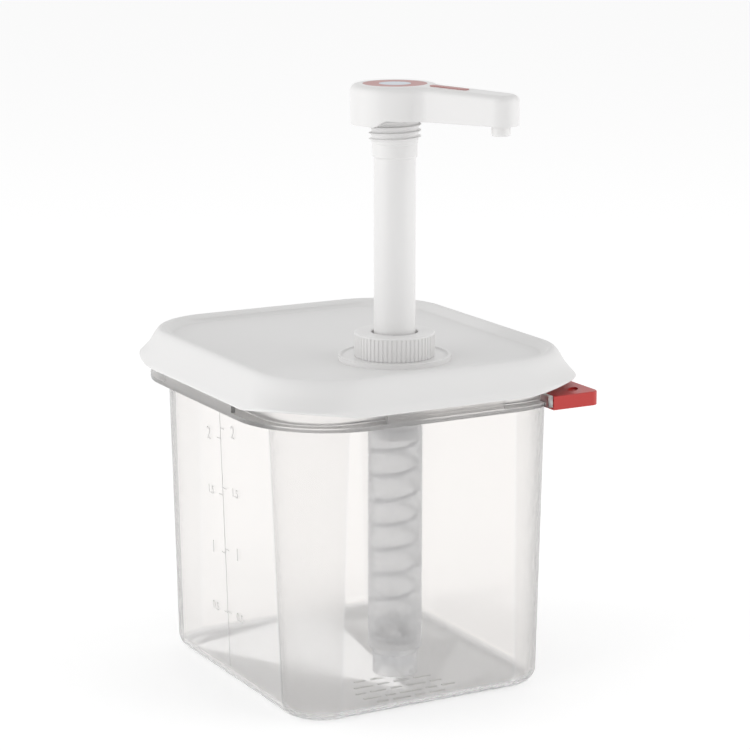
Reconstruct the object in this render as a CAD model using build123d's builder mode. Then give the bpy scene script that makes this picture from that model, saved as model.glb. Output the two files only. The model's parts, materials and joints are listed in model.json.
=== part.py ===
from build123d import *
import os
from math import cos, radians, sin, sqrt

# Condiment pump dispenser: a one-sixth size food container, its push-on lid, a coloured corner clip
# and a 30 ml piston pump that hangs through the lid.
# Millimetres. The origin is the centre of the container's base, on the surface it stands on. +Z is up,
# +X runs along the container's short side, and the pump stands nearer the -Y side.

# ---------------------------------------------------------------- driving dimensions

# Container: a tapered box with a ledge near the top, a collar above it and outer rails on the ledge.
HEIGHT = 150.0
WALL = 2.0
BASE_SIZE = (131.4, 148.2, 20.0)       # X, Y and corner radius at the base
BODY_TOP_SIZE = (140.0, 155.0, 27.0)   # the same just below the ledge
BASE_EDGE_R = 7.0
FLOOR_EDGE_R = 5.0
RIM_SIZE = (162.0, 176.0, 45.0)        # the ledge's outline
LEDGE_Z = 137.4
LEDGE_T = 2.0
COLLAR_SIZE = (148.0, 162.0, 31.0)     # the wall above the ledge, which the lid seals on
RAIL_TOP = 145.6
RAIL_REACH = (30.0, 36.0)              # half length of the rails along X and along Y
STOP_GAP = 25.6                        # from the rim's square corner to a clip stop
STOP_W = 2.4
STOP_L = 7.2
STOP_TOP = 142.8

# Clip on the rim's corner.
CLIP_LEG = 25.0
CLIP_Z = (136.0, 142.4)
CLIP_JAW = 3.0
CLIP_GAP = 0.3
CLIP_SLOT_GAP = 0.1
CLIP_CORNER_R = 4.0
CLIP_EDGE_R = 0.6
DIMPLE_SIZE = (4.5, 2.2, 0.9)          # radii and depth
DIMPLE_INSET = 9.0                     # from the rim's square corner

# Lid.
LID_SKIRT_SIZE = (167.0, 181.0, 36.0)  # at the skirt's lower edge
LID_TOP_SIZE = (150.0, 169.0, 36.0)    # at the top of its ridge
LID_SKIRT_Z = 144.0
LID_RIDGE_Z = 160.5
LID_PANEL_Z = 157.0
LID_T = 1.4
LID_SKIRT_T = 1.2
LID_RIDGE_W = 7.5
LID_RIDGE_EDGE_R = 2.0
LID_RIDGE_ROOF_T = 2.0
LID_PANEL_TAPER = 40.0                 # of the ridge's inner side, in degrees
LID_SEAL_T = 1.6                       # the skirt's extra thickness beside the ridge's hollow
LID_ARCH_R = 100.0
LID_ARCH_RISE = 2.4

# Pump, on its own upright axis.
PUMP_Y = -40.0
FLANGE_R = 25.8
FLANGE_T = 1.5
FLANGE_LIP = (2.2, 1.2, 2.0)           # height, width at the top and width at the foot
NECK_R = 15.5
NECK_TOP = 162.5
NECK_DEPTH = 11.0                      # below the lid's panel
LOWER_NECK_R = 16.8
LOWER_NECK_GAP = 0.2
NUT_R = 22.5
NUT_Z = (147.6, 154.6)
NUT_NOTCHES = (12, 1.8)                # count and radius
GASKET_INSET = 1.0
COLLAR_R = 18.4
COLLAR_Z = (158.6, 169.7)
COLLAR_BAND = 1.0                      # the plain band above the ribs
COLLAR_EDGE_R = 0.7
COLLAR_GROOVES = (56, 0.55, 0.15)      # count, radius and how far out their centres are
BARREL_R = 12.5
BORE_R = 11.2
BARREL_BOTTOM = 17.5
BARREL_SHOULDER = 3.2
BARREL_FLOOR = 20.5
BARREL_FLANGE_T = 1.2
SPIGOT_R = 8.2                         # the barrel's lower spigot, which holds the foot
SPIGOT_BOTTOM = 12.0
INLET_R = 4.0
FOOT_R = 10.4
FOOT_BORE_R = 8.25
FOOT_Z = (7.0, 17.4)
FOOT_EDGE_R = 1.0
GUIDE_GAP = 6.0                        # from the risen piston to the guide
GUIDE_FLANGE_T = 1.0
STEM_SEAL_T = 0.9
STACK_GAP = 0.2                        # between the stack of flanges and the collar's bore
STEM_R = 9.5
STEM_BORE_R = 6.5
STEM_PORT_R = 3.2
STEM_FLOOR_T = 3.0
STEM_SLOT = (1.6, 2.0)                 # width and depth of the crossed slots at the stem's lower end
SLOT_INSET = 1.0
LOWER_SPIGOT_R = 7.5
UPPER_SPIGOT_R = 8.0
SHOULDER_GAP = 0.3
PISTON_Z = (126.0, 146.0)
PISTON_GAP = 0.3
PISTON_NOSE = (8.2, 6.0)               # radius and length
PISTON_SEAL_Z = (5.0, 9.0)             # above the piston's lower face
SEAL_ROOT_R = 9.4
OUTLET_R = 3.0
OUTLET_FLOOR_T = 3.0
SPRING_R = 9.9
WIRE_R = 0.9
SPRING_COILS = 8.5
SPRING_END_GAP = 0.1
INLET_BALL_R = 5.5
OUTLET_BALL_R = 4.0
BALL_GAP = 0.1
CAGE_GAP = 0.7                         # between the inlet ball and its cage
CAGE_WALL = 1.4
CAGE_SEAT_T = 3.0
CAGE_HEADROOM = 2.5
CAGE_PORT_R = 2.5
CAGE_WINDOW = (4.0, 5.0)
CAGE_WINDOW_LAND = 0.8
OUTLET_BALL_GAP = 0.8
OUTLET_HEADROOM = 2.0
RUNNING_GAP = 0.08
FIT_GAP = 0.05

# Head: a round cap with a spout arm.
CAP_R = 20.1
CAP_Z = (264.7, 282.6)
ARM_ANGLE = -61.6
ARM_REACH = 55.0
ARM_ROOT_W = 20.0
ARM_TIP_W = 16.0
ARM_Z = 267.3
ARM_TIP_TOP = 280.4
HEAD_WALL = 2.0
HEAD_ROOF_T = 2.8
HEAD_EDGE_R = 3.0
HEAD_INSIDE_R = 9.0                    # between the cap and the arm
ARM_SLOPE_INSET = 4.0                  # the arm's slope starts this far inside the cap
ARM_STEP = (8.0, 0.4)                  # run and rise of the underside's step, from the pump's axis
BOSS_WALL = 2.2
BOSS_CLEARANCE = 1.6                   # from the lock thread's top to the boss
CORE_START_GAP = 1.5
DUCT_R = 3.0
DUCT_WALL = 1.6
DUCT_SINK = 0.8                        # how far the duct tube runs up into the roof
DUCT_OVERLAP = 2.0                     # how far the duct tube runs into the boss
CHAMBER_HEADROOM = 0.2
NOZZLE_R = 4.25
NOZZLE_BORE_R = 2.8
NOZZLE_Z = (262.7, 272.0)
NOZZLE_EDGE_R = 0.4
NOZZLE_BLOCK_INSET = 0.4               # from the arm's rounded tip
PLUG_Z = (249.4, 272.0)
PLUG_R = 10.25
PLUG_TAPER = (0.6, 0.8)                # radius and height of the plug's lower chamfer
PLUG_GUIDE_L = 6.2
PLUG_NECK_L = 0.5
LOCK_THREAD_R = 11.8
LOCK_THREAD_DEPTH = 1.2
LOCK_THREAD_ROOT = 0.3                 # how far the thread's root is sunk in the core
LOCK_THREAD_Z = (1.0, 11.0)            # above the plug's shoulder
LOCK_THREAD_SIZE = (1.7, 66.0)         # root width and flank angle in degrees
LOCK_PITCH = 2.67
LOCK_GAP = (0.2, 0.4)                  # round the thread and round the guide section
RING_R = (14.5, 7.3)
INLAY_T = 0.4
STRIPE_X = (19.0, 38.0)
STRIPE_W = 4.2
CUT_PAST = 1.0                         # how far a cutting block runs past the face it opens

# ---------------------------------------------------------------- placing

PUMP_AXIS = Axis((0, PUMP_Y, 0), (0, 0, 1))
PUMP_SECTION = Plane(origin=(0, PUMP_Y, 0), x_dir=(1, 0, 0), z_dir=(0, -1, 0))
ARM_DIRECTION = (cos(radians(ARM_ANGLE)), sin(radians(ARM_ANGLE)), 0)
ARM_NORMAL = (ARM_DIRECTION[1], -ARM_DIRECTION[0], 0)
ARM_SIDE = Plane(origin=(0, PUMP_Y, 0), x_dir=ARM_DIRECTION, z_dir=ARM_NORMAL)


def pump_plane(height):
    """Horizontal plane centred on the pump's axis."""
    return Plane(origin=(0, PUMP_Y, height))


def arm_plane(height):
    """Horizontal plane centred on the pump's axis, with its X along the spout arm."""
    return Plane(origin=(0, PUMP_Y, height), x_dir=ARM_DIRECTION, z_dir=(0, 0, 1))


def body_size(height, inset=0.0):
    """Size and corner radius of the container's tapered body at a height."""
    share = height / LEDGE_Z
    x, y, r = (a + (b - a) * share for a, b in zip(BASE_SIZE, BODY_TOP_SIZE))
    return x - 2 * inset, y - 2 * inset, r - inset


def lid_size(height, inset=0.0):
    """Size and corner radius of the lid's sloping skirt at a height."""
    share = (height - LID_SKIRT_Z) / (LID_RIDGE_Z - LID_SKIRT_Z)
    x, y, r = (a + (b - a) * share for a, b in zip(LID_SKIRT_SIZE, LID_TOP_SIZE))
    return x - 2 * inset, y - 2 * inset, r - inset


def inset_size(size, inset):
    """A rounded rectangle's size and corner radius, moved inwards."""
    return size[0] - 2 * inset, size[1] - 2 * inset, size[2] - inset


def loft_between(size_at, low, high, inset=0.0, mode=Mode.ADD):
    """Loft the rounded rectangles that size_at gives at two heights, in the part being built."""
    with BuildSketch(Plane.XY.offset(low)) as lower:
        RectangleRounded(*size_at(low, inset))
    with BuildSketch(Plane.XY.offset(high)) as upper:
        RectangleRounded(*size_at(high, inset))
    loft([lower.sketch, upper.sketch], mode=mode)


def turn(corners, mode=Mode.ADD):
    """Turn a closed outline of (radius, height) corners about the pump's axis."""
    with BuildSketch(PUMP_SECTION) as profile:
        with BuildLine():
            Polyline(*corners, close=True)
        make_face()
    revolve(profile.sketch, axis=PUMP_AXIS, mode=mode)


def save(builder, label):
    """Name a finished piece and write it."""
    builder.part.label = label
    export_step(builder.part, f"parts/{label}.step")


def save_ring(label, outer, inner, low, high):
    """Make and write a plain ring on the pump's axis."""
    with BuildPart() as ring:
        with BuildSketch(pump_plane(low)):
            Circle(outer)
            Circle(inner, mode=Mode.SUBTRACT)
        extrude(amount=high - low)
    save(ring, label)


os.makedirs("parts", exist_ok=True)

# ---------------------------------------------------------------- container

with BuildPart() as cavity:
    loft_between(body_size, WALL, LEDGE_Z + LEDGE_T, WALL)
    fillet(cavity.edges().group_by(Axis.Z)[0], radius=FLOOR_EDGE_R)

with BuildPart() as container:
    loft_between(body_size, 0, LEDGE_Z)
    fillet(container.edges().group_by(Axis.Z)[0], radius=BASE_EDGE_R)
    with BuildSketch(Plane.XY.offset(LEDGE_Z)):
        RectangleRounded(*RIM_SIZE)
    extrude(amount=LEDGE_T)
    add(cavity.part, mode=Mode.SUBTRACT)
    with BuildSketch(Plane.XY.offset(LEDGE_Z + LEDGE_T)):
        RectangleRounded(*COLLAR_SIZE)
        RectangleRounded(*inset_size(COLLAR_SIZE, WALL), mode=Mode.SUBTRACT)
    extrude(amount=HEIGHT - LEDGE_Z - LEDGE_T)
    fillet(container.edges().group_by(Axis.Z)[-1], radius=WALL / 4)
    # Rails on the straight runs of the ledge, which the lid's skirt snaps over.
    rail_x = (RIM_SIZE[0] - WALL) / 2
    rail_y = (RIM_SIZE[1] - WALL) / 2
    with BuildSketch(Plane.XY.offset(LEDGE_Z + LEDGE_T)):
        with Locations((rail_x, 0), (-rail_x, 0)):
            Rectangle(WALL, 2 * RAIL_REACH[1])
        with Locations((0, rail_y), (0, -rail_y)):
            Rectangle(2 * RAIL_REACH[0], WALL)
    extrude(amount=RAIL_TOP - LEDGE_Z - LEDGE_T)
    # Two stops on the rim, one past each end of the clip.
    stop_x = RIM_SIZE[0] / 2 - STOP_GAP - STOP_W / 2
    stop_y = STOP_GAP + STOP_W / 2 - RIM_SIZE[1] / 2
    with BuildSketch(Plane.XY.offset(LEDGE_Z)):
        with Locations((stop_x, (STOP_L - RIM_SIZE[1]) / 2)):
            Rectangle(STOP_W, STOP_L)
        with Locations(((RIM_SIZE[0] - STOP_L) / 2, stop_y)):
            Rectangle(STOP_L, STOP_W)
    extrude(amount=STOP_TOP - LEDGE_Z)
save(container, "container")

# ---------------------------------------------------------------- colour clip

rim_corner = (RIM_SIZE[0] / 2, -RIM_SIZE[1] / 2)
rim_arc_centre = (rim_corner[0] - RIM_SIZE[2], rim_corner[1] + RIM_SIZE[2])

with BuildPart() as color_clip:
    with BuildSketch(Plane.XY.offset(CLIP_Z[0])):
        with Locations((rim_corner[0] - CLIP_LEG / 2, rim_corner[1] + CLIP_LEG / 2)):
            Rectangle(CLIP_LEG, CLIP_LEG)
        with Locations(rim_arc_centre):
            Circle(RIM_SIZE[2] - CLIP_JAW, mode=Mode.SUBTRACT)
    extrude(amount=CLIP_Z[1] - CLIP_Z[0])
    outer_corner = color_clip.edges().filter_by(Axis.Z).sort_by(Axis.X)[-3:].sort_by(Axis.Y)[0]
    fillet(outer_corner, radius=CLIP_CORNER_R)
    fillet(color_clip.edges().group_by(Axis.Z)[-1], radius=CLIP_EDGE_R)
    # The slot between the jaws, which grips the ledge.
    with BuildSketch(Plane.XY.offset(LEDGE_Z - CLIP_SLOT_GAP)):
        with Locations(rim_arc_centre):
            Circle(RIM_SIZE[2] + CLIP_GAP)
    extrude(amount=LEDGE_T + 2 * CLIP_SLOT_GAP, mode=Mode.SUBTRACT)
    # A thumb dimple in the top face.
    dimple_centre = (rim_corner[0] - DIMPLE_INSET, rim_corner[1] + DIMPLE_INSET, CLIP_Z[1])
    with BuildSketch(Plane(origin=dimple_centre, x_dir=(1, 1, 0))):
        Ellipse(*DIMPLE_SIZE[:2])
    extrude(amount=-DIMPLE_SIZE[2], mode=Mode.SUBTRACT)
save(color_clip, "color_clip")

# ---------------------------------------------------------------- lid

panel_size = inset_size(LID_TOP_SIZE, LID_RIDGE_W)
ceiling_z = LID_PANEL_Z - LID_T

with BuildPart() as lid:
    loft_between(lid_size, LID_SKIRT_Z, LID_RIDGE_Z)
    fillet(lid.edges().group_by(Axis.Z)[-1], radius=LID_RIDGE_EDGE_R)
    with BuildSketch(Plane.XY.offset(LID_RIDGE_Z)):
        RectangleRounded(*panel_size)
    extrude(amount=LID_PANEL_Z - LID_RIDGE_Z, mode=Mode.SUBTRACT, taper=LID_PANEL_TAPER)
    loft_between(lid_size, LID_SKIRT_Z, ceiling_z, LID_SKIRT_T, mode=Mode.SUBTRACT)
    # The hollow inside the ridge.
    with BuildSketch(Plane.XY.offset(ceiling_z)):
        RectangleRounded(*lid_size(ceiling_z, LID_SKIRT_T + LID_SEAL_T))
        RectangleRounded(*inset_size(panel_size, -LID_T), mode=Mode.SUBTRACT)
    extrude(amount=LID_RIDGE_Z - LID_RIDGE_ROOF_T - ceiling_z, mode=Mode.SUBTRACT)
    # The ring under the lid that seals on top of the container's collar.
    with BuildSketch(Plane.XY.offset(HEIGHT)):
        RectangleRounded(*COLLAR_SIZE)
        RectangleRounded(*inset_size(COLLAR_SIZE, WALL), mode=Mode.SUBTRACT)
    extrude(amount=LID_RIDGE_Z - LID_T - HEIGHT)
    # Arches that lift the skirt's edge at the corners, where a finger peels the lid off.
    for x_sign in (1, -1):
        for y_sign in (1, -1):
            arch_centre = (
                x_sign * LID_SKIRT_SIZE[0] / 3,
                y_sign * LID_SKIRT_SIZE[1] / 3,
                LID_SKIRT_Z + LID_ARCH_RISE - LID_ARCH_R,
            )
            with BuildSketch(Plane(origin=arch_centre, z_dir=(x_sign, y_sign, 0))):
                Circle(LID_ARCH_R)
            extrude(amount=HEIGHT / 2, mode=Mode.SUBTRACT)
    with BuildSketch(pump_plane(ceiling_z)):
        Circle(LOWER_NECK_R + LOWER_NECK_GAP)
    extrude(amount=LID_T, mode=Mode.SUBTRACT)
save(lid, "lid")

# ---------------------------------------------------------------- pump fixing in the lid

lip_h, lip_top_w, lip_foot_w = FLANGE_LIP

with BuildPart() as neck_flange:
    turn([
        (BARREL_R + FIT_GAP, LID_PANEL_Z - NECK_DEPTH),
        (LOWER_NECK_R, LID_PANEL_Z - NECK_DEPTH),
        (LOWER_NECK_R, LID_PANEL_Z),
        (FLANGE_R, LID_PANEL_Z),
        (FLANGE_R, LID_PANEL_Z + lip_h),
        (FLANGE_R - lip_top_w, LID_PANEL_Z + lip_h),
        (FLANGE_R - lip_foot_w, LID_PANEL_Z + FLANGE_T),
        (NECK_R, LID_PANEL_Z + FLANGE_T),
        (NECK_R, NECK_TOP),
        (BARREL_R + FIT_GAP, NECK_TOP),
    ])
save(neck_flange, "neck_flange")

with BuildPart() as neck_nut:
    with BuildSketch(pump_plane(NUT_Z[0])):
        Circle(NUT_R)
        Circle(LOWER_NECK_R + FIT_GAP, mode=Mode.SUBTRACT)
        with PolarLocations(NUT_R, NUT_NOTCHES[0]):
            Circle(NUT_NOTCHES[1], mode=Mode.SUBTRACT)
    extrude(amount=NUT_Z[1] - NUT_Z[0])
save(neck_nut, "neck_nut")

save_ring("neck_gasket", NUT_R - GASKET_INSET, LOWER_NECK_R + FIT_GAP, NUT_Z[1], ceiling_z)

# ---------------------------------------------------------------- pump barrel and its guide stack

barrel_flange_z = NECK_TOP + BARREL_FLANGE_T
guide_flange_z = barrel_flange_z + GUIDE_FLANGE_T
seal_top_z = guide_flange_z + STEM_SEAL_T
stack_r = NECK_R - STACK_GAP

with BuildPart() as barrel:
    turn([
        (INLET_R, SPIGOT_BOTTOM),
        (SPIGOT_R, SPIGOT_BOTTOM),
        (SPIGOT_R, BARREL_BOTTOM),
        (FOOT_R, BARREL_BOTTOM),
        (BARREL_R, BARREL_BOTTOM + BARREL_SHOULDER),
        (BARREL_R, NECK_TOP),
        (stack_r, NECK_TOP),
        (stack_r, barrel_flange_z),
        (BORE_R, barrel_flange_z),
        (BORE_R, BARREL_FLOOR),
        (INLET_R, BARREL_FLOOR),
    ])
save(barrel, "barrel")

with BuildPart() as stem_guide:
    turn([
        (STEM_R + RUNNING_GAP, PISTON_Z[1] + GUIDE_GAP),
        (BORE_R - FIT_GAP, PISTON_Z[1] + GUIDE_GAP),
        (BORE_R - FIT_GAP, barrel_flange_z),
        (stack_r, barrel_flange_z),
        (stack_r, guide_flange_z),
        (STEM_R + RUNNING_GAP, guide_flange_z),
    ])
save(stem_guide, "stem_guide")

save_ring("stem_seal", stack_r, STEM_R + FIT_GAP, guide_flange_z, seal_top_z)

groove_count, groove_r, groove_out = COLLAR_GROOVES
thread_bore_r = LOCK_THREAD_R + LOCK_GAP[0]
guide_bore_r = PLUG_R + LOCK_GAP[1]

with BuildPart() as collar:
    with BuildSketch(pump_plane(COLLAR_Z[0])):
        Circle(COLLAR_R)
        with PolarLocations(COLLAR_R + groove_out, groove_count):
            Circle(groove_r, mode=Mode.SUBTRACT)
    extrude(amount=COLLAR_Z[1] - COLLAR_Z[0] - COLLAR_BAND)
    with BuildSketch(pump_plane(COLLAR_Z[1] - COLLAR_BAND)):
        Circle(COLLAR_R)
    extrude(amount=COLLAR_BAND)
    fillet(collar.edges().group_by(Axis.Z)[-1], radius=COLLAR_EDGE_R)
    # Bore: the neck and the guide stack below, the lock thread's groove at the top.
    turn([
        (0, COLLAR_Z[0]),
        (NECK_R + FIT_GAP, COLLAR_Z[0]),
        (NECK_R + FIT_GAP, seal_top_z),
        (guide_bore_r, seal_top_z),
        (guide_bore_r, COLLAR_Z[1] - LOCK_GAP[1]),
        (guide_bore_r + LOCK_GAP[1], COLLAR_Z[1]),
        (0, COLLAR_Z[1]),
    ], mode=Mode.SUBTRACT)
    turn([
        (0, seal_top_z),
        (thread_bore_r, seal_top_z),
        (thread_bore_r, seal_top_z + LOCK_PITCH / 2),
        (guide_bore_r, seal_top_z + 0.7 * LOCK_PITCH),
        (0, seal_top_z + 0.7 * LOCK_PITCH),
    ], mode=Mode.SUBTRACT)
save(collar, "collar")

with BuildPart() as intake_foot:
    with BuildSketch(pump_plane(FOOT_Z[0])):
        Circle(FOOT_R)
        Circle(FOOT_BORE_R, mode=Mode.SUBTRACT)
    extrude(amount=FOOT_Z[1] - FOOT_Z[0])
    fillet(intake_foot.edges().group_by(Axis.Z)[0].sort_by(SortBy.RADIUS)[-1], radius=FOOT_EDGE_R)
save(intake_foot, "intake_foot")

# ---------------------------------------------------------------- inlet valve and return spring

inlet_ball_z = BARREL_FLOOR + sqrt(INLET_BALL_R ** 2 - INLET_R ** 2) + BALL_GAP
cage_bore_r = INLET_BALL_R + CAGE_GAP
cage_r = cage_bore_r + CAGE_WALL
cage_roof_z = inlet_ball_z + INLET_BALL_R + CAGE_HEADROOM
spring_seat_z = BARREL_FLOOR + CAGE_SEAT_T

with BuildPart() as inlet_ball:
    with Locations((0, PUMP_Y, inlet_ball_z)):
        Sphere(INLET_BALL_R)
save(inlet_ball, "inlet_ball")

with BuildPart() as ball_cage:
    turn([
        (cage_bore_r, BARREL_FLOOR),
        (BORE_R - FIT_GAP, BARREL_FLOOR),
        (BORE_R - FIT_GAP, spring_seat_z),
        (cage_r, spring_seat_z),
        (cage_r, cage_roof_z + CAGE_WALL),
        (CAGE_PORT_R, cage_roof_z + CAGE_WALL),
        (CAGE_PORT_R, cage_roof_z),
        (cage_bore_r, cage_roof_z),
    ])
    # Four windows that let the sauce past the ball.
    with BuildSketch(pump_plane(inlet_ball_z)):
        with PolarLocations(cage_bore_r + CAGE_WALL / 2, 4):
            Rectangle(*CAGE_WINDOW)
    extrude(amount=cage_roof_z - inlet_ball_z - CAGE_WINDOW_LAND, mode=Mode.SUBTRACT)
save(ball_cage, "ball_cage")

spring_low = spring_seat_z + WIRE_R + SPRING_END_GAP
spring_high = PISTON_Z[0] - WIRE_R - SPRING_END_GAP
spring_pitch = (spring_high - spring_low) / SPRING_COILS

with BuildPart() as return_spring:
    with BuildLine() as coil:
        Helix(spring_pitch, spring_high - spring_low, SPRING_R, center=(0, PUMP_Y, spring_low))
    with BuildSketch(Plane(origin=coil.line @ 0, z_dir=coil.line % 0)):
        Circle(WIRE_R)
    sweep(path=coil.line, is_frenet=True)
save(return_spring, "return_spring")

# ---------------------------------------------------------------- piston, its seal and the outlet valve

outlet_edge_z = PISTON_Z[0] + OUTLET_FLOOR_T
outlet_ball_z = outlet_edge_z + sqrt(OUTLET_BALL_R ** 2 - OUTLET_R ** 2) + BALL_GAP
outlet_chamber_r = OUTLET_BALL_R + OUTLET_BALL_GAP
spigot_z = outlet_ball_z + OUTLET_BALL_R + OUTLET_HEADROOM
socket_z = spigot_z - SHOULDER_GAP
socket_r = LOWER_SPIGOT_R + RUNNING_GAP
piston_r = BORE_R - PISTON_GAP
nose_r, nose_l = PISTON_NOSE
seal_low, seal_high = (PISTON_Z[0] + height for height in PISTON_SEAL_Z)

with BuildPart() as piston:
    turn([
        (OUTLET_R, PISTON_Z[0] - nose_l),
        (nose_r, PISTON_Z[0] - nose_l),
        (nose_r, PISTON_Z[0]),
        (piston_r, PISTON_Z[0]),
        (piston_r, seal_low),
        (SEAL_ROOT_R, seal_low),
        (SEAL_ROOT_R, seal_high),
        (piston_r, seal_high),
        (piston_r, PISTON_Z[1]),
        (socket_r, PISTON_Z[1]),
        (socket_r, socket_z),
        (outlet_chamber_r, socket_z),
        (outlet_chamber_r, outlet_edge_z),
        (OUTLET_R, outlet_edge_z),
    ])
save(piston, "piston")

save_ring("piston_seal", BORE_R - FIT_GAP, SEAL_ROOT_R + FIT_GAP, seal_low, seal_high)

with BuildPart() as outlet_ball:
    with Locations((0, PUMP_Y, outlet_ball_z)):
        Sphere(OUTLET_BALL_R)
save(outlet_ball, "outlet_ball")

# ---------------------------------------------------------------- stem and lock plug

shoulder_z = PISTON_Z[1] + SHOULDER_GAP
stem_floor_z = spigot_z + STEM_FLOOR_T
slot_w, slot_depth = STEM_SLOT
slot_l = 2 * (LOWER_SPIGOT_R - SLOT_INSET)

with BuildPart() as stem_tube:
    turn([
        (STEM_PORT_R, spigot_z),
        (LOWER_SPIGOT_R, spigot_z),
        (LOWER_SPIGOT_R, shoulder_z),
        (STEM_R, shoulder_z),
        (STEM_R, PLUG_Z[0]),
        (UPPER_SPIGOT_R, PLUG_Z[0]),
        (UPPER_SPIGOT_R, PLUG_Z[1]),
        (STEM_BORE_R, PLUG_Z[1]),
        (STEM_BORE_R, stem_floor_z),
        (STEM_PORT_R, stem_floor_z),
    ])
    # Crossed slots in the lower end, so that the risen ball doesn't shut it.
    with BuildSketch(pump_plane(spigot_z)):
        Rectangle(slot_l, slot_w)
        Rectangle(slot_w, slot_l)
    extrude(amount=slot_depth, mode=Mode.SUBTRACT)
save(stem_tube, "stem_tube")

plug_bore_r = UPPER_SPIGOT_R + FIT_GAP
plug_core_r = LOCK_THREAD_R - LOCK_THREAD_DEPTH
plug_shoulder_z = PLUG_Z[0] + PLUG_GUIDE_L
thread_low, thread_high = (plug_shoulder_z + height for height in LOCK_THREAD_Z)

with BuildPart() as lock_plug:
    turn([
        (plug_bore_r, PLUG_Z[0]),
        (PLUG_R - PLUG_TAPER[0], PLUG_Z[0]),
        (PLUG_R, PLUG_Z[0] + PLUG_TAPER[1]),
        (PLUG_R, plug_shoulder_z),
        (plug_core_r, plug_shoulder_z + PLUG_NECK_L),
        (plug_core_r, PLUG_Z[1]),
        (plug_bore_r, PLUG_Z[1]),
    ])
    root_r = plug_core_r - LOCK_THREAD_ROOT
    with BuildLine() as thread_path:
        Helix(LOCK_PITCH, thread_high - thread_low, root_r, center=(0, PUMP_Y, thread_low))
    thread_start = Plane(origin=thread_path.line @ 0, x_dir=(1, 0, 0), z_dir=thread_path.line % 0)
    thread_w, flank_angle = LOCK_THREAD_SIZE
    with BuildSketch(thread_start):
        Trapezoid(
            thread_w,
            LOCK_THREAD_DEPTH + LOCK_THREAD_ROOT,
            flank_angle,
            rotation=-90,
            align=(Align.CENTER, Align.MIN),
        )
    sweep(path=thread_path.line, is_frenet=True)
save(lock_plug, "lock_plug")

# ---------------------------------------------------------------- head and nozzle

roof_z = CAP_Z[1] - HEAD_ROOF_T
boss_bore_r = plug_core_r + FIT_GAP
boss_r = boss_bore_r + BOSS_WALL
boss_bottom_z = thread_high + BOSS_CLEARANCE
duct_outer_r = DUCT_R + DUCT_WALL
duct_z = roof_z + DUCT_SINK - duct_outer_r
duct_roof_z = duct_z + DUCT_R
chamber_top_z = duct_roof_z + CHAMBER_HEADROOM
root_joint_x = sqrt(CAP_R ** 2 - (ARM_ROOT_W / 2) ** 2)
slope_start_x = CAP_R - ARM_SLOPE_INSET
slope_end_x = ARM_REACH + ARM_TIP_W
slope = (ARM_TIP_TOP - CAP_Z[1]) / (slope_end_x - slope_start_x)
step_x, step_rise = ARM_STEP
core_start_x = boss_r + CORE_START_GAP
core_end_x = ARM_REACH - ARM_TIP_W / 2 + NOZZLE_BLOCK_INSET
duct_start = boss_r - DUCT_OVERLAP
duct_bore_start = STEM_BORE_R - CUT_PAST
duct_plane = Plane(
    origin=Vector(0, PUMP_Y, duct_z) + duct_start * Vector(*ARM_DIRECTION),
    z_dir=ARM_DIRECTION,
)


def arm_top(reach):
    """Height of the arm's sloping top at a distance from the pump's axis."""
    return CAP_Z[1] + slope * (reach - slope_start_x)


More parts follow.
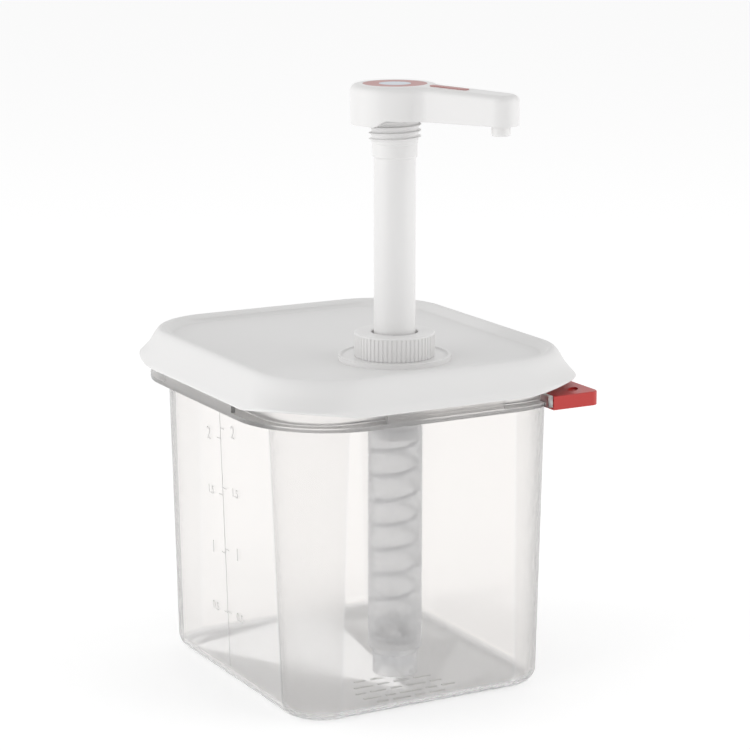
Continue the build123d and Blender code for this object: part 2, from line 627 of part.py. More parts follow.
with BuildPart() as head:
    # Plan outline of the cap and the spout arm, with the inside corners between them rounded.
    with BuildSketch(arm_plane(CAP_Z[0])) as outline:
        Circle(CAP_R)
        with BuildLine():
            Polyline(
                (0, ARM_ROOT_W / 2),
                (ARM_REACH, ARM_TIP_W / 2),
                (ARM_REACH, -ARM_TIP_W / 2),
                (0, -ARM_ROOT_W / 2),
                close=True,
            )
        make_face()
        with Locations((ARM_REACH, 0)):
            Circle(ARM_TIP_W / 2)
        fillet(outline.vertices().sort_by_distance((root_joint_x, 0))[:2], radius=HEAD_INSIDE_R)
    extrude(amount=CAP_Z[1] - CAP_Z[0])
    # The arm's top slopes down to the tip, and its underside steps up from the cap's skirt.
    with BuildSketch(ARM_SIDE):
        with BuildLine():
            Polyline(
                (slope_start_x, CAP_Z[1]),
                (slope_end_x, ARM_TIP_TOP),
                (slope_end_x, CAP_Z[1] + CUT_PAST),
                (slope_start_x, CAP_Z[1] + CUT_PAST),
                close=True,
            )
        make_face()
        with BuildLine():
            Bezier(
                (0, CAP_Z[0]),
                (step_x / 2, CAP_Z[0]),
                (step_x / 2, ARM_Z + step_rise),
                (step_x, ARM_Z + step_rise),
            )
            Polyline(
                (step_x, ARM_Z + step_rise),
                (CAP_R, ARM_Z),
                (slope_end_x, ARM_Z),
                (slope_end_x, CAP_Z[0] - CUT_PAST),
                (0, CAP_Z[0] - CUT_PAST),
                (0, CAP_Z[0]),
            )
        make_face()
    extrude(amount=CAP_R + CUT_PAST, both=True, mode=Mode.SUBTRACT)
    # Rounded top edges, all but the faint crease where the arm's slope starts.
    top_faces = head.faces().filter_by(lambda face: face.normal_at().Z > 0.9)
    top_edges = ShapeList(edge for face in top_faces for edge in face.edges())
    rim_edges = top_edges.filter_by(lambda edge: sum(edge == other for other in top_edges) == 1)
    fillet(rim_edges, radius=HEAD_EDGE_R)
    # The cap's hollow, down to the boss that holds the lock plug.
    with BuildSketch(pump_plane(CAP_Z[0])):
        Circle(CAP_R - HEAD_WALL)
        Circle(boss_r, mode=Mode.SUBTRACT)
    extrude(amount=roof_z - CAP_Z[0], mode=Mode.SUBTRACT)
    turn([
        (0, CAP_Z[0]),
        (boss_r + FIT_GAP, CAP_Z[0]),
        (boss_r + FIT_GAP, boss_bottom_z),
        (boss_bore_r, boss_bottom_z),
        (boss_bore_r, PLUG_Z[1]),
        (STEM_BORE_R, PLUG_Z[1]),
        (STEM_BORE_R, chamber_top_z),
        (0, chamber_top_z),
    ], mode=Mode.SUBTRACT)
    # The arm is cored from below, round a duct tube that ends in the nozzle block.
    with BuildSketch(arm_plane(ARM_Z - CUT_PAST)):
        with BuildLine():
            Polyline(
                (core_start_x, ARM_ROOT_W / 2 - HEAD_WALL),
                (core_end_x, ARM_TIP_W / 2 - HEAD_WALL),
                (core_end_x, HEAD_WALL - ARM_TIP_W / 2),
                (core_start_x, HEAD_WALL - ARM_ROOT_W / 2),
                close=True,
            )
        make_face()
    extrude(amount=duct_roof_z - ARM_Z + CUT_PAST, mode=Mode.SUBTRACT)
    with BuildSketch(duct_plane):
        Circle(duct_outer_r)
    extrude(amount=ARM_REACH - duct_start)
    with BuildSketch(duct_plane.offset(duct_bore_start - duct_start)):
        Circle(DUCT_R)
    extrude(amount=ARM_REACH - duct_bore_start, mode=Mode.SUBTRACT)
    with BuildSketch(arm_plane(ARM_Z - CUT_PAST)):
        with Locations((ARM_REACH, 0)):
            Circle(NOZZLE_R + FIT_GAP)
    extrude(amount=NOZZLE_Z[1] - ARM_Z + CUT_PAST, mode=Mode.SUBTRACT)
    with BuildSketch(arm_plane(NOZZLE_Z[1])):
        with Locations((ARM_REACH, 0)):
            Circle(DUCT_R)
    extrude(amount=duct_roof_z - NOZZLE_Z[1], mode=Mode.SUBTRACT)
    # A shallow recess for the inlaid ring and disc.
    with BuildSketch(pump_plane(CAP_Z[1] - INLAY_T)):
        Circle(RING_R[0] + FIT_GAP)
    extrude(amount=INLAY_T, mode=Mode.SUBTRACT)
save(head, "head")

with BuildPart() as nozzle_tip:
    with BuildSketch(arm_plane(NOZZLE_Z[0])):
        with Locations((ARM_REACH, 0)):
            Circle(NOZZLE_R)
            Circle(NOZZLE_BORE_R, mode=Mode.SUBTRACT)
    extrude(amount=NOZZLE_Z[1] - NOZZLE_Z[0])
    fillet(nozzle_tip.edges().group_by(Axis.Z)[0], radius=NOZZLE_EDGE_R)
save(nozzle_tip, "nozzle_tip")

# ---------------------------------------------------------------- coloured inlays on the head

save_ring("head_ring", RING_R[0], RING_R[1], CAP_Z[1] - INLAY_T, CAP_Z[1])

with BuildPart() as head_disc:
    with BuildSketch(pump_plane(CAP_Z[1] - INLAY_T)):
        Circle(RING_R[1] - FIT_GAP)
    extrude(amount=INLAY_T)
save(head_disc, "head_disc")

with BuildPart() as arm_stripe:
    with BuildSketch(ARM_SIDE):
        with BuildLine():
            Polyline(
                (STRIPE_X[0], arm_top(STRIPE_X[0])),
                (STRIPE_X[1], arm_top(STRIPE_X[1])),
                (STRIPE_X[1], arm_top(STRIPE_X[1]) + INLAY_T),
                (STRIPE_X[0], arm_top(STRIPE_X[0]) + INLAY_T),
                close=True,
            )
        make_face()
    extrude(amount=STRIPE_W / 2, both=True)
    fillet(arm_stripe.edges().filter_by(Axis.Z, tolerance=5), radius=STRIPE_W / 3)
save(arm_stripe, "arm_stripe")
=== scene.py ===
import json
from math import cos, pi, radians, sin

import bmesh
import bpy
from mathutils import Matrix, Vector


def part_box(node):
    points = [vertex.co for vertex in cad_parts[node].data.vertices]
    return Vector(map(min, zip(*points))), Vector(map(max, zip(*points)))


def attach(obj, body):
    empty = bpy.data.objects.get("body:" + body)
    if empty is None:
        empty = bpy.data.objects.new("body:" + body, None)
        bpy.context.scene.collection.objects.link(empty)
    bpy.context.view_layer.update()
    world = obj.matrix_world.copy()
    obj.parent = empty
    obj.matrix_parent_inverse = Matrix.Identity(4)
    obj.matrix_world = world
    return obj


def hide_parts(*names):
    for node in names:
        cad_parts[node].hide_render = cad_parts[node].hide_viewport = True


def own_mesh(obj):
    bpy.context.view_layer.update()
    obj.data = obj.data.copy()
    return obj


# Condiment pump dispenser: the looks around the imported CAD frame.
# The CAD's row frame: the origin is the centre of the container's base, +Z is up, +X runs along the
# container's short side, and the pump stands towards -Y. Blender works in metres, and sizes here are
# written in millimetres times MM.

MM = 0.001

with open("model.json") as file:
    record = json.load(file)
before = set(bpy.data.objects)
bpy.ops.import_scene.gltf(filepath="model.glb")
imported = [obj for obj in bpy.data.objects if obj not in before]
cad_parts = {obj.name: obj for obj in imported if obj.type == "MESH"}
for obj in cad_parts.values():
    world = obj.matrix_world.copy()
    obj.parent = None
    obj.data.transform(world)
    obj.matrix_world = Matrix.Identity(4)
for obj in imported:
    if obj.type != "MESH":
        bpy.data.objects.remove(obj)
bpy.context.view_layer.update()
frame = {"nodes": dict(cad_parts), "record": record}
nodes = frame["nodes"]
record = frame["record"]

# ---------------------------------------------------------------- places read from the frame, in metres

lid_low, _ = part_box("lid")
container_low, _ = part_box("container")
stem_low, stem_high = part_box("stem_tube")
spring_low, spring_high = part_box("return_spring")
cage_low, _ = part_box("ball_cage")
piston_low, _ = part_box("piston")

pump_x = (stem_low.x + stem_high.x) / 2
pump_y = (stem_low.y + stem_high.y) / 2


# ---------------------------------------------------------------- materials

# Noise scales, per metre: the flow of the moulded plastic, its uneven gloss, and a metal's stains and
# scratches. The flow runs mostly up and down.
FLOW_SCALE = 28
FLOW_STRETCH = (1.0, 1.0, 0.35)
GLOSS_SCALE = 120
STAIN_SCALE = 90
SCRATCH_SCALE = 700
SCRATCH_DEPTH = 0.004 * MM


def new_material(name, color, roughness):
    """A Principled material. Returns (material, tree, shader)."""
    material = bpy.data.materials.new(name)
    material.use_nodes = True
    tree = material.node_tree
    shader = tree.nodes["Principled BSDF"]
    shader.inputs["Base Color"].default_value = (*color, 1.0)
    shader.inputs["Roughness"].default_value = roughness
    return material, tree, shader


def noise(tree, scale, detail=3.0, stretch=(1.0, 1.0, 1.0)):
    """Solid noise in the object's own metres. Returns its value socket."""
    coordinates = tree.nodes.new("ShaderNodeTexCoord")
    mapping = tree.nodes.new("ShaderNodeMapping")
    mapping.inputs["Scale"].default_value = stretch
    texture = tree.nodes.new("ShaderNodeTexNoise")
    texture.inputs["Scale"].default_value = scale
    texture.inputs["Detail"].default_value = detail
    tree.links.new(coordinates.outputs["Object"], mapping.inputs["Vector"])
    tree.links.new(mapping.outputs["Vector"], texture.inputs["Vector"])
    return texture.outputs["Fac"]


def math_node(tree, operation, first, second=None, clamp=False):
    """A Math node on sockets or plain numbers. Returns its value socket."""
    node = tree.nodes.new("ShaderNodeMath")
    node.operation = operation
    node.use_clamp = clamp
    for socket, value in zip(node.inputs, (first, second)):
        if isinstance(value, bpy.types.NodeSocket):
            tree.links.new(value, socket)
        elif value is not None:
            socket.default_value = value
    return node.outputs[0]


def spread_between(tree, value, from_low, from_high, low, high):
    """Map a value's range onto another range, held at its ends."""
    node = tree.nodes.new("ShaderNodeMapRange")
    node.inputs["From Min"].default_value = from_low
    node.inputs["From Max"].default_value = from_high
    node.inputs["To Min"].default_value = low
    node.inputs["To Max"].default_value = high
    tree.links.new(value, node.inputs["Value"])
    return node.outputs["Result"]


def spread(tree, value, low, high):
    """Map a 0 to 1 value onto a range."""
    return spread_between(tree, value, 0.0, 1.0, low, high)


def tint(tree, value, first, second):
    """Mix two colours by a 0 to 1 value."""
    node = tree.nodes.new("ShaderNodeMix")
    node.data_type = "RGBA"
    factor, *_ = (socket for socket in node.inputs if socket.name == "Factor")
    color_a, color_b = (socket for socket in node.inputs if socket.type == "RGBA")
    color_a.default_value = (*first, 1.0)
    color_b.default_value = (*second, 1.0)
    tree.links.new(value, factor)
    return next(socket for socket in node.outputs if socket.type == "RGBA")


def bump(tree, shader, height, distance):
    """Raise the shader's normal by a height field, distance in metres."""
    node = tree.nodes.new("ShaderNodeBump")
    node.inputs["Distance"].default_value = distance
    tree.links.new(height, node.inputs["Height"])
    tree.links.new(node.outputs["Normal"], shader.inputs["Normal"])


def moulded(name, color, roughness, mottle=0.97, gloss_spread=0.05, grain=900, grain_depth=0.01, **finish):
    """Moulded plastic: faint flow mottling in the colour, uneven gloss and a fine moulded grain."""
    material, tree, shader = new_material(name, color, roughness)
    for socket, value in finish.items():
        shader.inputs[socket.replace("_", " ")].default_value = value
    darker = [channel * mottle for channel in color]
    flow = noise(tree, FLOW_SCALE, detail=2.0, stretch=FLOW_STRETCH)
    tree.links.new(tint(tree, flow, darker, color), shader.inputs["Base Color"])
    patches = noise(tree, GLOSS_SCALE, detail=4.0)
    gloss = spread(tree, patches, roughness - gloss_spread, roughness + gloss_spread)
    tree.links.new(gloss, shader.inputs["Roughness"])
    bump(tree, shader, noise(tree, grain, detail=2.0), grain_depth * MM)
    return material


def metal(name, color, roughness):
    """Bright metal with fine scratches and handling haze."""
    material, tree, shader = new_material(name, color, roughness)
    shader.inputs["Metallic"].default_value = 1.0
    darker = [channel * 0.85 for channel in color]
    tree.links.new(tint(tree, noise(tree, STAIN_SCALE), darker, color), shader.inputs["Base Color"])
    scratches = noise(tree, SCRATCH_SCALE, detail=2.0)
    gloss = spread(tree, scratches, roughness * 0.7, roughness * 1.4)
    tree.links.new(gloss, shader.inputs["Roughness"])
    bump(tree, shader, scratches, SCRATCH_DEPTH)
    return material


# Height of the underside of the container's ledge, which its tapered walls run up to.
BODY_H = 137.4 * MM
# Where the container's flat walls end and its rounded corners start: half lengths at the base, then their
# change per metre of height.
FLAT_HALF_X = (45.7 * MM, -2.7 * MM / BODY_H)
FLAT_HALF_Y = (54.1 * MM, -3.6 * MM / BODY_H)
ZONE_BLUR = 0.6 * MM


def object_place(tree):
    """A node whose X, Y and Z outputs are a point's place in the object, in metres."""
    coordinates = tree.nodes.new("ShaderNodeTexCoord")
    split = tree.nodes.new("ShaderNodeSeparateXYZ")
    tree.links.new(coordinates.outputs["Object"], split.inputs[0])
    return split


def corner_distance(tree):
    """How far a point of the container lies past the flat walls, in metres. Negative on the flat walls."""
    split = object_place(tree)
    past = []
    for socket, (half, lean) in ((split.outputs["X"], FLAT_HALF_X), (split.outputs["Y"], FLAT_HALF_Y)):
        reach = math_node(tree, "ABSOLUTE", socket)
        edge = math_node(tree, "ADD", math_node(tree, "MULTIPLY", split.outputs["Z"], lean), half)
        past.append(math_node(tree, "SUBTRACT", reach, edge))
    return math_node(tree, "MINIMUM", *past)


# The rim's zone starts around the first height, and the base plate's zone ends just above the second.
RIM_FROM = 135.5 * MM
BASE_TO = 2.6 * MM
ZONE_FADE = 1.0 * MM
# How far the colour moves from the wall's to the base's in a painted line along a corner's edge, standing
# in for the line that refraction shows where the flat wall turns into the corner, and with the flow.
PAINTED_EDGE_LINE = 0.45
FLOW_SHADE = 0.12
# The rim's satin against a corner's, and its transmission.
RIM_SATIN = 1.15
RIM_CLEAR = 0.97
UNEVEN_GLOSS = 0.02
WALL_GRAIN_SCALE = 120
WALL_GRAIN_DEPTH = 0.0006 * MM
PLASTIC_IOR = 1.49


def container_plastic(name, wall, corner, base, absorption):
    """Natural polypropylene with clear walls, satin corners and rim, and a frosted base plate.

    The wall and base are (colour, roughness, transmission). The corners are (roughness, transmission) in
    the wall's colour. The absorption is (colour, density per metre).
    """
    corner_roughness, corner_clear = corner
    material, tree, shader = new_material(name, wall[0], wall[1])
    shader.inputs["IOR"].default_value = PLASTIC_IOR
    height = object_place(tree).outputs["Z"]
    distance = corner_distance(tree)
    at_corner = spread_between(tree, distance, -ZONE_BLUR, ZONE_BLUR, 0.0, 1.0)
    at_rim = spread_between(tree, height, RIM_FROM - ZONE_FADE, RIM_FROM + ZONE_FADE, 0.0, RIM_SATIN)
    at_base = spread_between(tree, height, BASE_TO, BASE_TO + ZONE_FADE, 1.0, 0.0)
    satin = math_node(tree, "MAXIMUM", at_corner, at_rim)

    dullest = wall[1] + (corner_roughness - wall[1]) * RIM_SATIN
    gloss = spread_between(tree, satin, 0.0, RIM_SATIN, wall[1], dullest)
    rougher = spread_between(tree, at_base, 0.0, 1.0, 0.0, base[1])
    patches = spread(tree, noise(tree, STAIN_SCALE, detail=4.0), -UNEVEN_GLOSS, UNEVEN_GLOSS)
    uneven = math_node(tree, "ADD", math_node(tree, "MAXIMUM", gloss, rougher), patches)
    tree.links.new(uneven, shader.inputs["Roughness"])

    clear = spread_between(tree, satin, 0.0, 1.0, wall[2], corner_clear)
    frost = spread_between(tree, at_base, 0.0, 1.0, 1.0, base[2])
    cloudy = spread_between(tree, at_rim, 0.0, RIM_SATIN, 1.0, RIM_CLEAR)
    clearest = math_node(tree, "MINIMUM", clear, math_node(tree, "MINIMUM", frost, cloudy))
    tree.links.new(clearest, shader.inputs["Transmission Weight"])

    # Painted refraction line: a thin band at the edge of each corner is tinted towards the base's colour.
    away = math_node(tree, "ABSOLUTE", distance)
    line = spread_between(tree, away, 0.0, 2 * ZONE_BLUR, PAINTED_EDGE_LINE, 0.0)
    flow_noise = noise(tree, FLOW_SCALE, detail=2.0, stretch=FLOW_STRETCH)
    flow = math_node(tree, "MULTIPLY", flow_noise, FLOW_SHADE)
    shade = math_node(tree, "MAXIMUM", math_node(tree, "ADD", line, flow), at_base)
    tree.links.new(tint(tree, shade, wall[0], base[0]), shader.inputs["Base Color"])
    bump(tree, shader, noise(tree, WALL_GRAIN_SCALE, detail=2.0), WALL_GRAIN_DEPTH)

    volume = tree.nodes.new("ShaderNodeVolumeAbsorption")
    volume.inputs["Color"].default_value = (*absorption[0], 1.0)
    volume.inputs["Density"].default_value = absorption[1]
    tree.links.new(volume.outputs["Volume"], tree.nodes["Material Output"].inputs["Volume"])
    return material


# A faint glow that stands in for light scattered inside the barrel's cloudy plastic.
INNER_SCATTER = 0.05

MATERIALS = {
    "container_pp": container_plastic(
        "container_pp",
        wall=((0.974, 0.960, 0.948), 0.06, 1.0),
        corner=(0.26, 0.98),
        base=((0.98, 0.98, 0.98), 0.38, 0.86),
        absorption=((0.80, 0.80, 0.80), 50.0),
    ),
    "lid_pe": moulded(
        "lid_pe", (0.79, 0.785, 0.78), 0.5, mottle=0.985, grain=600, grain_depth=0.005,
        Specular_IOR_Level=0.25,
    ),
    "clip_red": moulded("clip_red", (0.52, 0.030, 0.025), 0.36, mottle=0.92, grain=1400),
    "pump_white": moulded(
        "pump_white", (0.785, 0.778, 0.773), 0.30, mottle=0.985, gloss_spread=0.02, grain=900,
        grain_depth=0.0015,
    ),
    "barrel_natural": moulded(
        "barrel_natural", (0.998, 0.998, 0.998), 0.36, mottle=0.997, Transmission_Weight=0.72, IOR=1.35,
        Emission_Color=(0.92, 0.95, 1.0, 1.0), Emission_Strength=INNER_SCATTER,
    ),
    "seal_silicone": moulded("seal_silicone", (0.78, 0.79, 0.78), 0.6, grain=500),
    "spring_steel": metal("spring_steel", (0.70, 0.71, 0.72), 0.40),
    "ball_steel": metal("ball_steel", (0.62, 0.63, 0.64), 0.12),
    "ring_red": moulded("ring_red", (0.52, 0.24, 0.23), 0.40, mottle=0.94),
    "disc_pale": moulded("disc_pale", (0.66, 0.73, 0.80), 0.38, mottle=0.96),
}
SCALE_MATERIAL = moulded(
    "scale_relief", (0.96, 0.95, 0.94), 0.5, mottle=0.97, grain=900, Transmission_Weight=0.50,
    IOR=PLASTIC_IOR,
)
MARK_MATERIAL = moulded("floor_mark", (0.96, 0.96, 0.95), 0.5, mottle=0.97, grain=900)

for subpart in record["subparts"]:
    node_materials = nodes[subpart["node"]].data.materials
    node_materials.clear()
    node_materials.append(MATERIALS[subpart["material_slot"]])


# ---------------------------------------------------------------- mesh helpers

def make_mesh(name, points, faces):
    """A smooth mesh from points and faces, with its normals turned outwards."""
    mesh = bpy.data.meshes.new(name)
    mesh.from_pydata(points, [], faces)
    build = bmesh.new()
    build.from_mesh(mesh)
    bmesh.ops.recalc_face_normals(build, faces=build.faces)
    build.to_mesh(mesh)
    build.free()
    for polygon in mesh.polygons:
        polygon.use_smooth = True
    return mesh


def add_piece(name, mesh, material, body):
    """Put a finished mesh in the scene, riding on a body, with its material."""
    piece = bpy.data.objects.new(name, mesh)
    bpy.context.scene.collection.objects.link(piece)
    mesh.materials.append(material)
    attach(piece, body)
    return piece


def loop_faces(loops, count, closed):
    """Quads along a stack of loops of count points. A closed stack joins its last loop to its first."""
    last = len(loops) if closed else len(loops) - 1
    faces = []
    for level in range(last):
        lower = level * count
        upper = (level + 1) % len(loops) * count
        for i in range(count):
            j = (i + 1) % count
            faces.append((lower + i, lower + j, upper + j, upper + i))
    return faces


def curve_value(t, a, b, c, d):
    """Catmull-Rom value at t between b and c."""
    slope = (c - a) * t
    bend = (2 * a - 5 * b + 4 * c - d) * t ** 2
    twist = (3 * b - a - 3 * c + d) * t ** 3
    return 0.5 * (2 * b + slope + bend + twist)


def smooth_stack(sections, steps):
    """Catmull-Rom curve through a list of equal-length tuples, with steps points per span."""
    found = []
    for k in range(len(sections) - 1):
        before = sections[max(k - 1, 0)]
        first = sections[k]
        second = sections[k + 1]
        after = sections[min(k + 2, len(sections) - 1)]
        for step in range(steps):
            t = step / steps
            found.append(tuple(curve_value(t, *values) for values in zip(before, first, second, after)))
    found.append(sections[-1])
    return found


# ---------------------------------------------------------------- lid

ARC_STEPS = 28
SIDE_STEPS = 10
CORNERS = ((1, 1, 0), (-1, 1, 90), (-1, -1, 180), (1, -1, 270))


def rounded_loop(half_x, half_y, radius):
    """Points (x, y, corner share) of a rounded rectangle. The share peaks at 1 in a corner's middle."""
    points = []
    for index, (x_sign, y_sign, start) in enumerate(CORNERS):
        centre_x = x_sign * (half_x - radius)
        centre_y = y_sign * (half_y - radius)
        for step in range(ARC_STEPS + 1):
            angle = radians(start + 90 * step / ARC_STEPS)
            share = sin(pi * step / ARC_STEPS)
            points.append((centre_x + radius * cos(angle), centre_y + radius * sin(angle), share))
        next_x, next_y, next_start = CORNERS[(index + 1) % 4]
        from_x, from_y, _ = points[-1]
        to_x = next_x * (half_x - radius) + radius * cos(radians(next_start))
        to_y = next_y * (half_y - radius) + radius * sin(radians(next_start))
        for step in range(1, SIDE_STEPS):
            t = step / SIDE_STEPS
            points.append((from_x + (to_x - from_x) * t, from_y + (to_y - from_y) * t, 0.0))
    return points


# The lid's sections from the panel's edge over the ridge and down the skirt to its lower edge, then back
# up inside: half length along X, half length along Y, corner radius, height above the skirt's lower
# edge, and how far the corner rises, all in millimetres.
LID_OUTSIDE = (
    (67.5, 77.0, 28.5, 13.0, 0.0),
    (68.6, 78.1, 29.6, 13.2, 0.0),
    (70.2, 79.7, 31.2, 14.6, 0.0),
    (71.6, 81.1, 32.6, 16.0, 0.0),
    (73.0, 82.5, 33.9, 16.4, 0.0),
    (74.6, 84.0, 35.4, 16.1, 0.0),
    (75.8, 85.0, 36.0, 14.9, 0.0),
    (76.9, 85.9, 36.0, 12.9, 0.0),
    (78.9, 87.2, 36.0, 9.0, 0.0),
    (81.0, 88.8, 34.0, 5.0, 0.3),
    (81.9, 89.5, 33.5, 3.4, 0.6),
    (82.8, 90.0, 36.0, 1.8, 1.6),
    (83.3, 90.4, 39.5, 0.5, 2.5),
    (83.0, 90.1, 40.5, 0.0, 2.7),
    (82.3, 89.4, 40.0, 0.2, 2.7),
)
LID_INSIDE = (
    (82.3, 89.4, 40.0, 0.2, 2.7),
    (81.3, 88.6, 35.5, 2.2, 1.4),
    (79.9, 87.5, 32.8, 4.8, 0.3),
    (77.8, 85.9, 34.6, 8.8, 0.0),
    (75.8, 84.5, 34.8, 12.4, 0.0),
    (74.4, 83.4, 34.6, 14.3, 0.0),
    (71.8, 81.2, 32.6, 14.4, 0.0),
    (69.4, 78.9, 30.4, 13.0, 0.0),
    (66.6, 76.1, 27.6, 11.6, 0.0),
)
SEAL_RIB = (
    (74.0, 81.0, 31.0, 14.9, 0.0),
    (74.0, 81.0, 31.0, 6.4, 0.0),
    (73.6, 80.6, 30.6, 6.0, 0.0),
    (72.4, 79.4, 29.4, 6.0, 0.0),
    (72.0, 79.0, 29.0, 6.4, 0.0),
    (72.0, 79.0, 29.0, 14.9, 0.0),
)
PANEL_LOOPS = 9
LID_HOLE_R = 17.0 * MM


def lid_loop(section):
    """One loop of the lid's skin, in metres."""
    half_x, half_y, radius, height, rise = section
    return [
        Vector((x * MM, y * MM, lid_low.z + (height + rise * share) * MM))
        for x, y, share in rounded_loop(half_x, half_y, radius)
    ]


def panel_loops(edge, hole_radius):
    """Loops that blend from the panel's edge to the round hole for the pump."""
    centre = Vector((pump_x, pump_y, edge[0].z))
    hole = [centre + hole_radius * (point - centre).normalized() for point in edge]
    return [
        [point.lerp(target, step / PANEL_LOOPS) for point, target in zip(edge, hole)]
        for step in range(1, PANEL_LOOPS + 1)
    ]


def build_lid():
    """The soft lid: its skin as one closed shell, and the rib that seals on the container's collar."""
    outside = [lid_loop(section) for section in smooth_stack(LID_OUTSIDE, 3)]
    inside = [lid_loop(section) for section in smooth_stack(LID_INSIDE, 3)][1:]
    top = panel_loops(outside[0], LID_HOLE_R)
    ceiling = panel_loops(inside[-1], LID_HOLE_R)
    loops = top[::-1] + outside + inside + ceiling
    count = len(loops[0])
    points = [point for loop in loops for point in loop]
    faces = loop_faces(loops, count, closed=True)
    rib = [lid_loop(section) for section in SEAL_RIB]
    start = len(points)
    points += [point for loop in rib for point in loop]
    faces += [tuple(start + i for i in face) for face in loop_faces(rib, count, closed=True)]
    mesh = make_mesh("lid_skin", points, faces)
    piece = add_piece("lid_skin", mesh, MATERIALS["lid_pe"], "lid")
    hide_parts("lid")


build_lid()

# ---------------------------------------------------------------- return spring

WIRE_R = 0.9 * MM
CAGE_SEAT_T = 3.0 * MM
PISTON_NOSE_L = 6.0 * MM
CLOSED_COIL_GAP = 0.1 * MM
ACTIVE_COILS = 8.25
WIRE_SIDES = 12
STEPS_PER_COIL = 40


def build_spring():
    """A compression spring with one closed coil at each end."""
    coil_r = (spring_high.x - spring_low.x) / 2 - WIRE_R
    low = cage_low.z + CAGE_SEAT_T + WIRE_R
    high = piston_low.z + PISTON_NOSE_L - WIRE_R
    closed_rise = 2 * WIRE_R + CLOSED_COIL_GAP
    active_rise = high - low - 2 * closed_rise
    turns = ACTIVE_COILS + 2
    steps = int(turns * STEPS_PER_COIL)
    loops = []
    for step in range(steps + 1):
        turn = turns * step / steps
        lower = min(turn, 1.0)
        middle = min(max(turn - 1.0, 0.0), ACTIVE_COILS)
        upper = max(turn - 1.0 - ACTIVE_COILS, 0.0)
        height = low + (lower + upper) * closed_rise + middle / ACTIVE_COILS * active_rise
        angle = 2 * pi * turn
        outwards = Vector((cos(angle), sin(angle), 0))
        centre = Vector((pump_x, pump_y, height)) + coil_r * outwards
        loops.append([
            centre + WIRE_R * (cos(side) * outwards + sin(side) * Vector((0, 0, 1)))
            for side in (2 * pi * i / WIRE_SIDES for i in range(WIRE_SIDES))
        ])
    points = [point for loop in loops for point in loop]
    faces = loop_faces(loops, WIRE_SIDES, closed=False)
    faces.append(tuple(range(WIRE_SIDES)))
    faces.append(tuple(range(len(points) - WIRE_SIDES, len(points))))
    mesh = make_mesh("spring_coil", points, faces)
    piece = add_piece("spring_coil", mesh, MATERIALS["spring_steel"], "lid")
    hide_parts("return_spring")
    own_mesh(piece)


build_spring()

# ---------------------------------------------------------------- moulded scale on the container's wall

RELIEF = 0.12 * MM
LINE_W = 0.5 * MM
WALL_BASE_X = container_low.x + 15.3 * MM
WALL_LEAN = 4.3 * MM / BODY_H


def wall_frame(y, height):
    """Matrix whose X runs towards -Y along the -X wall, Y up the wall and Z out of it."""
    up = Vector((-WALL_LEAN, 0, 1)).normalized()
    along = Vector((0, -1, 0))
    out = along.cross(up)
    origin = Vector((WALL_BASE_X - WALL_LEAN * height, y, height))
    matrix = Matrix((along, up, out)).transposed().to_4x4()
    matrix.translation = origin
    return matrix


def bar(matrix, width, height, depth):
    """Points and faces of a small raised bar with drawn-in sides, centred on a frame's origin."""
    outline = ((-1, -1), (1, -1), (1, 1), (-1, 1))
    draft = depth / 2
    low = [matrix @ Vector((x * width / 2, y * height / 2, -depth / 2)) for x, y in outline]
    high = [matrix @ Vector((x * (width / 2 - draft), y * (height / 2 - draft), depth)) for x, y in outline]
    faces = [(3, 2, 1, 0), (4, 5, 6, 7)]
    faces += [(i, (i + 1) % 4, 4 + (i + 1) % 4, 4 + i) for i in range(4)]
    return low + high, faces


def numeral(text, matrix, size, depth):
    """Points and faces of raised digits, centred on a frame's origin."""
    curve = bpy.data.curves.new("numeral", "FONT")
    curve.body = text
    curve.size = size
    curve.extrude = depth
    curve.align_x = "CENTER"
    curve.align_y = "CENTER"
    holder = bpy.data.objects.new("numeral", curve)
    bpy.context.scene.collection.objects.link(holder)
    bpy.context.view_layer.update()
    mesh = bpy.data.meshes.new_from_object(holder.evaluated_get(bpy.context.evaluated_depsgraph_get()))
    points = [matrix @ vertex.co for vertex in mesh.vertices]
    faces = [tuple(polygon.vertices) for polygon in mesh.polygons]
    bpy.data.objects.remove(holder)
    bpy.data.curves.remove(curve)
    bpy.data.meshes.remove(mesh)
    return points, faces


def join_solids(name, solids):
    """One mesh from several lists of points and faces."""
    points = []
    faces = []
    for part_points, part_faces in solids:
        start = len(points)
        points += part_points
        faces += [tuple(start + i for i in face) for face in part_faces]
    mesh = make_mesh(name, points, faces)
    for polygon in mesh.polygons:
        polygon.use_smooth = False
    return mesh


# Each mark: its text, its height on the wall and the size of its digits, in millimetres.
NEAR_SCALE = (("2", 123.9, 8.6), ("1.5", 95.3, 5.8), ("1", 65.7, 8.6), ("0.5", 35.0, 5.8))
FAR_SCALE = (("2", 118.5, 8.6), ("1.5", 91.4, 5.8), ("1", 63.4, 8.6), ("0.5", 34.2, 5.8))
SCALE_LINE = (8.0, 131.0)
TICK_L = 4.0
NUMERAL_AT = 13.0


def build_scale():
    """A raised line up the wall, with ticks and numerals on both sides of it."""
    low, high = SCALE_LINE
    solids = [bar(wall_frame(0, (low + high) / 2 * MM), LINE_W, (high - low) * MM, RELIEF)]
    for side, marks in ((-1, NEAR_SCALE), (1, FAR_SCALE)):
        for text, height, size in marks:
            solids.append(bar(wall_frame(side * TICK_L / 2 * MM, height * MM), TICK_L * MM, LINE_W, RELIEF))
            solids.append(numeral(text, wall_frame(side * NUMERAL_AT * MM, height * MM), size * MM, RELIEF))
    mesh = join_solids("scale_relief", solids)
    add_piece("scale_relief", mesh, SCALE_MATERIAL, "container")


build_scale()

# ---------------------------------------------------------------- moulded marks on the container's floor

FLOOR_TOP = 2.0 * MM
MARK_RELIEF = 0.3 * MM
MARK_ROW_GAP = 7.5
MARK_W = 1.6
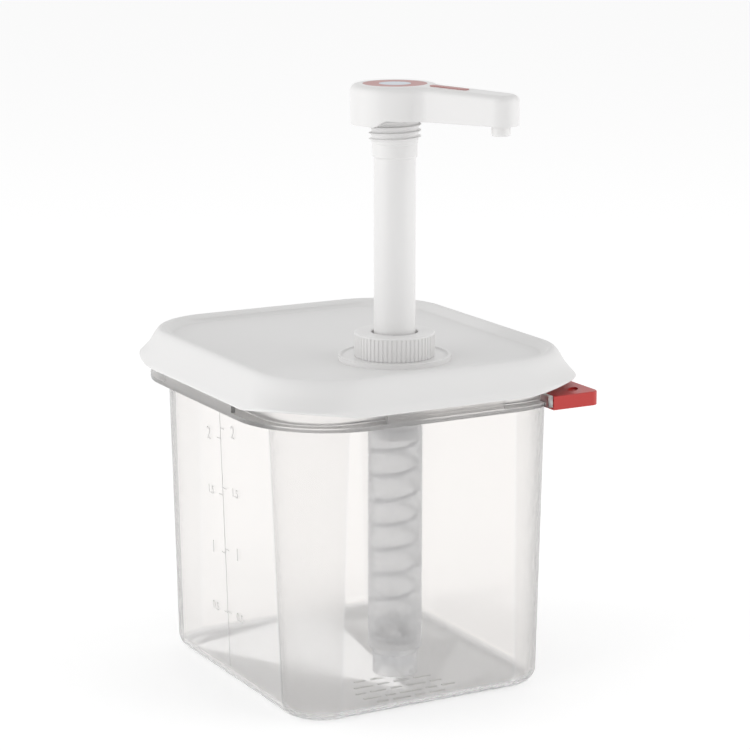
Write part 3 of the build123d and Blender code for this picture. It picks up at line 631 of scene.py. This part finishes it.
# Rows of generic dashes: each row's X start, then the dashes' lengths, in millimetres.
MARK_ROWS = (
    (-22.0, (6.0, 9.0, 5.0, 8.0)),
    (-25.0, (9.0, 5.0, 11.0, 6.0, 7.0)),
    (-25.0, (5.0, 8.0, 6.0, 10.0, 6.0)),
    (-22.0, (10.0, 6.0, 8.0, 9.0)),
    (-18.0, (6.0, 7.0, 9.0)),
)
MARK_START_Y = -63.0
MARK_GAP = 2.6


def build_floor_marks():
    """Rows of short raised dashes, standing for the moulder's marks on the container's floor."""
    solids = []
    for row, (start, lengths) in enumerate(MARK_ROWS):
        x = start
        y = MARK_START_Y + row * MARK_ROW_GAP
        for length in lengths:
            place = Matrix.Translation(Vector((x + length / 2, y, FLOOR_TOP / MM)) * MM)
            solids.append(bar(place, length * MM, MARK_W * MM, MARK_RELIEF))
            x += length + MARK_GAP
    mesh = join_solids("floor_marks", solids)
    add_piece("floor_marks", mesh, MARK_MATERIAL, "container")


build_floor_marks()

# ---------------------------------------------------------------- camera

AZIMUTH = -28.65
ELEVATION = 12.43
DISTANCE = 1.2188
LENS = 123.37
TARGET = Vector((11.7, 0.0, 140.1)) * MM


def towards(azimuth, elevation):
    """Unit vector from the object to a viewer at an azimuth and elevation, in degrees."""
    a = radians(azimuth)
    e = radians(elevation)
    return Vector((sin(a) * cos(e), -cos(a) * cos(e), sin(e)))


camera_data = bpy.data.cameras.new("camera")
camera_data.lens = LENS
camera_data.sensor_width = 36.0
camera = bpy.data.objects.new("camera", camera_data)
camera.location = TARGET + DISTANCE * towards(AZIMUTH, ELEVATION)
camera.rotation_euler = (TARGET - camera.location).to_track_quat("-Z", "Y").to_euler()
bpy.context.scene.collection.objects.link(camera)
bpy.context.scene.camera = camera

# ---------------------------------------------------------------- studio


def add_softbox(name, azimuth, elevation, size, power):
    """A square area light that faces the object."""
    data = bpy.data.lights.new(name, "AREA")
    data.shape = "SQUARE"
    data.size = size
    data.energy = power
    light = bpy.data.objects.new(name, data)
    light.location = TARGET + SOFTBOX_DISTANCE * towards(azimuth, elevation)
    light.rotation_euler = (TARGET - light.location).to_track_quat("-Z", "Y").to_euler()
    bpy.context.scene.collection.objects.link(light)


WORLD_LEVEL = 0.80
WORLD_SLOPE = (0.10, 0.17, -0.22)


def build_world():
    """White surroundings, brighter behind the object and to its right, and darker overhead."""
    world = bpy.data.worlds.new("studio")
    bpy.context.scene.world = world
    world.use_nodes = True
    tree = world.node_tree
    background = tree.nodes["Background"]
    background.inputs["Color"].default_value = (1.0, 1.0, 1.0, 1.0)
    coordinates = tree.nodes.new("ShaderNodeTexCoord")
    dot = tree.nodes.new("ShaderNodeVectorMath")
    dot.operation = "DOT_PRODUCT"
    dot.inputs[1].default_value = WORLD_SLOPE
    tree.links.new(coordinates.outputs["Generated"], dot.inputs[0])
    level = math_node(tree, "ADD", dot.outputs["Value"], WORLD_LEVEL)
    tree.links.new(level, background.inputs["Strength"])


FLOOR_HALF = 30.0
FLOOR_GREY = 0.6
FLOOR_ROUGHNESS = 0.9
FLOOR_GLOW = 0.56


def build_floor():
    """A very large pale table that glows a little, as a lit white table does."""
    corners = [(x * FLOOR_HALF, y * FLOOR_HALF, 0) for x, y in ((-1, -1), (1, -1), (1, 1), (-1, 1))]
    mesh = make_mesh("floor", corners, [(0, 1, 2, 3)])
    floor = bpy.data.objects.new("floor", mesh)
    bpy.context.scene.collection.objects.link(floor)
    material, tree, shader = new_material("floor", (FLOOR_GREY,) * 3, FLOOR_ROUGHNESS)
    shader.inputs["Specular IOR Level"].default_value = 0.0
    shader.inputs["Emission Color"].default_value = (1.0, 1.0, 1.0, 1.0)
    shader.inputs["Emission Strength"].default_value = FLOOR_GLOW
    mesh.materials.append(material)


SOFTBOX_DISTANCE = 1.6
add_softbox("left_softbox", azimuth=-98, elevation=18, size=1.8, power=12.5)
add_softbox("right_softbox", azimuth=52, elevation=18, size=1.6, power=9.0)
build_world()
build_floor()
bpy.context.scene.view_settings.view_transform = "Standard"
